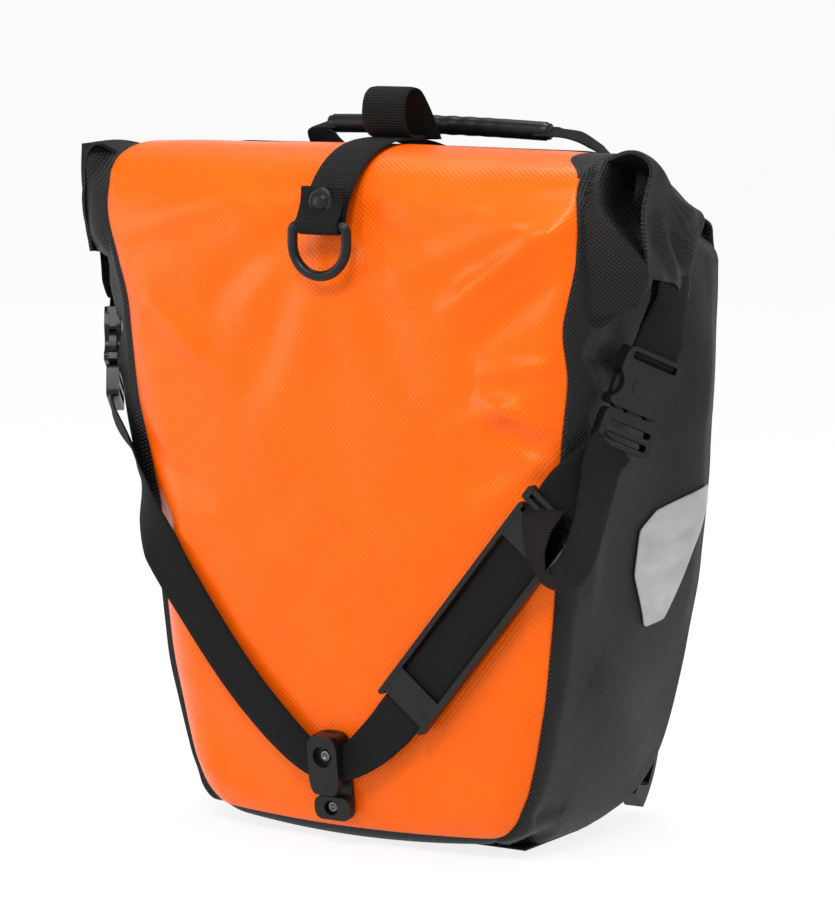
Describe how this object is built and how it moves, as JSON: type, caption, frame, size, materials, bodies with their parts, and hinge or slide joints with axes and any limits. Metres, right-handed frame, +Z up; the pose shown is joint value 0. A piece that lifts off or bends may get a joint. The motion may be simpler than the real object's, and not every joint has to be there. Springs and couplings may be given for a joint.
{
  "type": "pannier bag",
  "caption": "Roll-top rear bicycle pannier in coated fabric, with latching rack hooks, lift handle, lower hook, side-release buckles and shoulder strap.",
  "frame": {"origin": "centre of the base on the ground plane", "axes": "+Z up to the rolled mouth, -Y out of the decorated front, +Y towards the rack, +X to the wearer's right facing the front"},
  "size_m": [0.4068, 0.2361, 0.4508],
  "materials": {
    "orange_fabric": "gloss",
    "black_fabric": "satin",
    "webbing": "matte",
    "moulding": "matte",
    "insert": "matte",
    "sheet": "matte",
    "reflector": "satin",
    "steel": "satin",
    "rail": "satin"
  },
  "bodies": {
    "sack": {"back_panel": "black_fabric", "back_stiffener": "sheet", "bottom_panel": "black_fabric", "buckle_plug_left": "moulding", "buckle_plug_right": "moulding", "buckle_socket_left": "moulding", "buckle_socket_right": "moulding", "buckle_tab_left": "webbing", "buckle_tab_right": "webbing", "closure_strap": "webbing", "edge_guard_left": "moulding", "edge_guard_right": "moulding", "edge_guard_screws": "steel", "front_panel": "orange_fabric", "hook_backing_plate": "sheet", "hook_clamp_screws": "steel", "inner_pocket": "black_fabric", "lever_pin_left": "steel", "lever_pin_right": "steel", "lower_rail": "rail", "lower_rail_screws": "steel", "mouth_stiffener": "sheet", "pull_loop": "webbing", "rack_hook_insert_left": "insert", "rack_hook_insert_right": "insert", "rack_hook_left": "moulding", "rack_hook_right": "moulding", "rail_screws": "steel", "rail_washers": "steel", "reflector_left": "reflector", "reflector_right": "reflector", "ring_fold": "webbing", "rolled_mouth": "orange_fabric", "shoulder_strap": "webbing", "side_panel_left": "black_fabric", "side_panel_right": "black_fabric", "strap_hook": "moulding", "strap_hook_screws": "steel", "strap_loop": "webbing", "strap_slider": "moulding", "stud": "moulding", "top_collar": "black_fabric", "top_rail": "rail", "wing_left": "black_fabric", "wing_right": "black_fabric"},
    "d_ring": {"d_ring": "moulding"},
    "handle": {"handle_grip": "moulding", "handle_web": "webbing"},
    "latch_lever_left": {"latch_lever_left": "moulding"},
    "latch_lever_right": {"latch_lever_right": "moulding"},
    "hook_carriage": {"hook_carriage": "moulding"},
    "lower_hook": {"lower_hook": "moulding"},
    "shoulder_pad": {"shoulder_pad": "moulding"},
    "prong_left_front": {"prong_left_front": "moulding"},
    "prong_left_rear": {"prong_left_rear": "moulding"},
    "prong_right_front": {"prong_right_front": "moulding"},
    "prong_right_rear": {"prong_right_rear": "moulding"}
  },
  "joints": [
    {"name": "d_ring_swing", "type": "hinge", "parent": "sack", "child": "d_ring", "pos_m": [-0.0025, -0.101, 0.372], "axis": [-1, 0, 0], "range_deg": [0, 110]},
    {"name": "handle_lift", "type": "slide", "parent": "sack", "child": "handle", "axis": [0, 0, 1], "range_m": [0, 0.015], "stiffness_N_per_m": 400},
    {"name": "latch_left_open", "type": "hinge", "parent": "sack", "child": "latch_lever_left", "pos_m": [-0.095, 0.0956, 0.334], "axis": [-1, 0, 0], "range_deg": [0, 80], "stiffness_Nm_per_rad": 0.02},
    {"name": "latch_right_open", "type": "hinge", "parent": "sack", "child": "latch_lever_right", "pos_m": [0.095, 0.0956, 0.334], "axis": [-1, 0, 0], "range_deg": [0, 80], "stiffness_Nm_per_rad": 0.02},
    {"name": "carriage_slide", "type": "slide", "parent": "sack", "child": "hook_carriage", "axis": [1, 0, 0], "range_m": [-0.06, 0.035]},
    {"name": "lower_hook_turn", "type": "hinge", "parent": "hook_carriage", "child": "lower_hook", "pos_m": [0.014, 0.0998, 0.105], "axis": [0, 1, 0], "range_deg": [-90, 90]},
    {"name": "pad_slide", "type": "slide", "parent": "sack", "child": "shoulder_pad", "axis": [0.6248, 0, 0.7808], "range_m": [-0.008, 0.002]},
    {"name": "prong_left_front_flex", "type": "hinge", "parent": "sack", "child": "prong_left_front", "pos_m": [-0.17917, -0.06268, 0.27702], "axis": [-0.8601, -0.5098, -0.02], "range_deg": [0, 6], "stiffness_Nm_per_rad": 0.5},
    {"name": "prong_left_rear_flex", "type": "hinge", "parent": "sack", "child": "prong_left_rear", "pos_m": [-0.19075, -0.04278, 0.26729], "axis": [0.8601, 0.5098, 0.02], "range_deg": [0, 6], "stiffness_Nm_per_rad": 0.5},
    {"name": "prong_right_front_flex", "type": "hinge", "parent": "sack", "child": "prong_right_front", "pos_m": [0.18375, -0.04077, 0.26229], "axis": [0.8601, -0.5098, -0.02], "range_deg": [0, 6], "stiffness_Nm_per_rad": 0.5},
    {"name": "prong_right_rear_flex", "type": "hinge", "parent": "sack", "child": "prong_right_rear", "pos_m": [0.17217, -0.06068, 0.27202], "axis": [-0.8601, 0.5098, 0.02], "range_deg": [0, 6], "stiffness_Nm_per_rad": 0.5}
  ],
  "couplings": [
    {"joint": "latch_left_open", "follows": "handle_lift", "rad_per_m": 87},
    {"joint": "latch_right_open", "follows": "handle_lift", "rad_per_m": 87},
    {"joint": "prong_left_rear_flex", "follows": "prong_left_front_flex", "ratio": 1},
    {"joint": "prong_right_rear_flex", "follows": "prong_right_front_flex", "ratio": 1}
  ]
}
